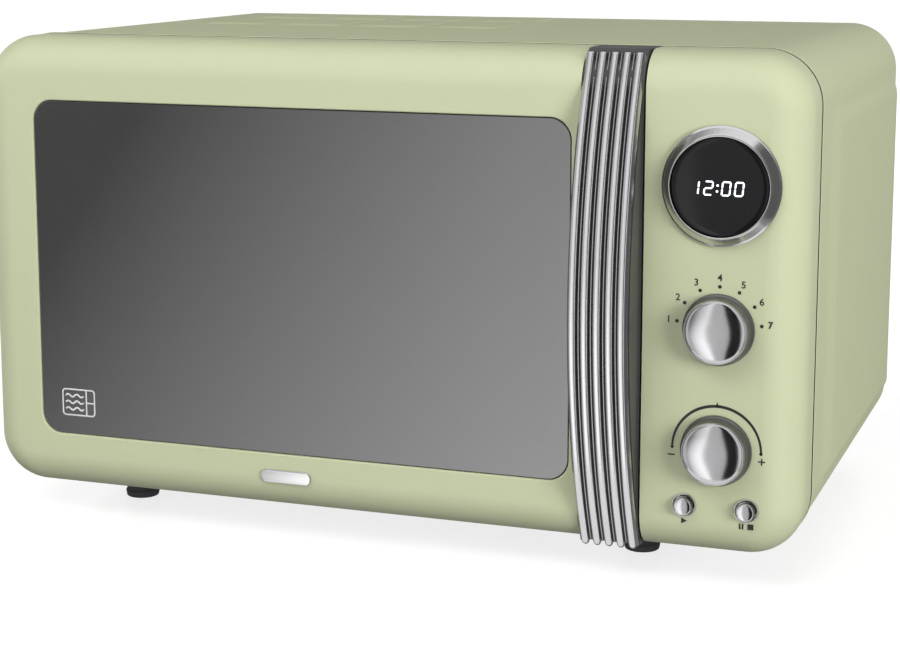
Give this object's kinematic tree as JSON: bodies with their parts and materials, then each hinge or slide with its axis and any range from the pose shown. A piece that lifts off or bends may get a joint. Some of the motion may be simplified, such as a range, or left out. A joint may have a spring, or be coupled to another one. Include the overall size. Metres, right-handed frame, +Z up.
{
  "type": "microwave oven",
  "caption": "Retro counter-top microwave oven with a hinged glass door, bowed ridged handle, turntable, round display, turning knobs and push buttons.",
  "frame": {"origin": "under the middle of the oven's box, on the surface its feet stand on", "axes": "+X to the oven's right, +Y to its back, +Z up"},
  "size_m": [0.4436, 0.332, 0.2588],
  "materials": {
    "green_enamel": "gloss",
    "green_plastic": "gloss",
    "grey_glass": "mirror-dark tempered glass",
    "clear_glass": "clear",
    "chrome": "polished",
    "dark_plastic": "satin",
    "white_plastic": "satin",
    "galvanised": "galvanised",
    "painted_steel": "satin",
    "steel": "satin",
    "board": "matte",
    "rubber": "matte",
    "mica": "matte"
  },
  "bodies": {
    "housing": {"outer_cover": "green_enamel", "base_plate": "galvanised", "back_panel": "galvanised", "front_frame": "painted_steel", "cavity": "painted_steel", "foot_front_left": "rubber", "foot_front_right": "rubber", "foot_rear_left": "rubber", "foot_rear_right": "rubber", "rear_spacer_left": "dark_plastic", "rear_spacer_right": "dark_plastic", "cord_gland": "dark_plastic", "control_panel": "green_plastic", "display_bezel": "chrome", "display_window": "grey_glass", "control_board": "board", "selector_encoder": "steel", "timer_encoder": "steel", "start_switch": "dark_plastic", "stop_switch": "dark_plastic", "upper_hinge_bracket": "steel", "lower_hinge_bracket": "steel", "latch_board": "white_plastic", "upper_interlock_switch": "dark_plastic", "lower_interlock_switch": "dark_plastic", "turntable_motor": "galvanised", "waveguide": "galvanised", "waveguide_cover": "mica", "magnetron": "galvanised", "high_voltage_transformer": "steel", "high_voltage_capacitor": "galvanised", "fan_motor": "steel", "fan_duct": "dark_plastic", "filter_board": "board", "oven_lamp": "white_plastic"},
    "door": {"door_frame": "green_plastic", "door_glass": "grey_glass", "door_choke": "painted_steel", "door_inner_sheet": "clear_glass", "choke_cover": "dark_plastic", "handle_grip": "dark_plastic", "handle_trim": "chrome", "badge": "chrome", "upper_hinge_pin": "steel", "lower_hinge_pin": "steel", "latch_spring": "steel"},
    "latch": {"door_latch": "white_plastic"},
    "selector": {"selector_knob": "chrome"},
    "timer_plunger": {"timer_shaft": "steel"},
    "timer": {"timer_knob": "chrome"},
    "start": {"start_button": "chrome"},
    "stop": {"stop_button": "chrome"},
    "turntable": {"glass_turntable": "clear_glass", "turntable_coupler": "white_plastic"},
    "roller_carrier": {"roller_ring": "white_plastic"},
    "roller_wheel_1": {"roller_1": "white_plastic"},
    "roller_wheel_2": {"roller_2": "white_plastic"},
    "roller_wheel_3": {"roller_3": "white_plastic"},
    "fan": {"fan_blade": "white_plastic"}
  },
  "joints": [
    {"name": "door_hinge", "type": "hinge", "parent": "housing", "child": "door", "pos_m": [-0.208, -0.1235, 0.137], "axis": [0, 0, -1], "range_deg": [0, 98]},
    {"name": "latch_slide", "type": "slide", "parent": "door", "child": "latch", "axis": [0, 0, 1], "range_m": [0, 0.004], "stiffness_N_per_m": 250, "springref_m": -0.002, "deforming": ["latch_spring"]},
    {"name": "selector_turn", "type": "hinge", "parent": "housing", "child": "selector", "pos_m": [0.18, -0.143, 0.128], "axis": [0, -1, 0], "range_deg": [-82, 82]},
    {"name": "timer_press", "type": "slide", "parent": "housing", "child": "timer_plunger", "axis": [0, 1, 0], "range_m": [0, 0.0005], "stiffness_N_per_m": 900, "springref_m": -0.0006},
    {"name": "timer_turn", "type": "hinge", "parent": "timer_plunger", "child": "timer", "pos_m": [0.18, -0.143, 0.0695], "axis": [0, -1, 0], "continuous": true},
    {"name": "start_press", "type": "slide", "parent": "housing", "child": "start", "axis": [0, 1, 0], "range_m": [0, 0.0015], "stiffness_N_per_m": 600, "springref_m": -0.0008},
    {"name": "stop_press", "type": "slide", "parent": "housing", "child": "stop", "axis": [0, 1, 0], "range_m": [0, 0.0015], "stiffness_N_per_m": 600, "springref_m": -0.0008},
    {"name": "turntable_spin", "type": "hinge", "parent": "housing", "child": "turntable", "pos_m": [-0.043, 0.015, 0.0536], "axis": [0, 0, 1], "continuous": true},
    {"name": "roller_ring_spin", "type": "hinge", "parent": "housing", "child": "roller_carrier", "pos_m": [-0.043, 0.015, 0.0458], "axis": [0, 0, 1], "continuous": true},
    {"name": "fan_spin", "type": "hinge", "parent": "housing", "child": "fan", "pos_m": [0.164, 0.126, 0.126], "axis": [0, 1, 0], "continuous": true},
    {"name": "roller_1_spin", "type": "hinge", "parent": "roller_carrier", "child": "roller_wheel_1", "pos_m": [0.03789, 0.0617, 0.0458], "axis": [0.866, 0.5, 0], "continuous": true},
    {"name": "roller_2_spin", "type": "hinge", "parent": "roller_carrier", "child": "roller_wheel_2", "pos_m": [-0.12389, 0.0617, 0.0458], "axis": [-0.866, 0.5, 0], "continuous": true},
    {"name": "roller_3_spin", "type": "hinge", "parent": "roller_carrier", "child": "roller_wheel_3", "pos_m": [-0.043, -0.0784, 0.0458], "axis": [0, -1, 0], "continuous": true}
  ],
  "couplings": [
    {"joint": "roller_ring_spin", "follows": "turntable_spin", "ratio": 0.5},
    {"joint": "roller_1_spin", "follows": "turntable_spin", "ratio": -6.1333},
    {"joint": "roller_2_spin", "follows": "turntable_spin", "ratio": -6.1333},
    {"joint": "roller_3_spin", "follows": "turntable_spin", "ratio": -6.1333}
  ]
}
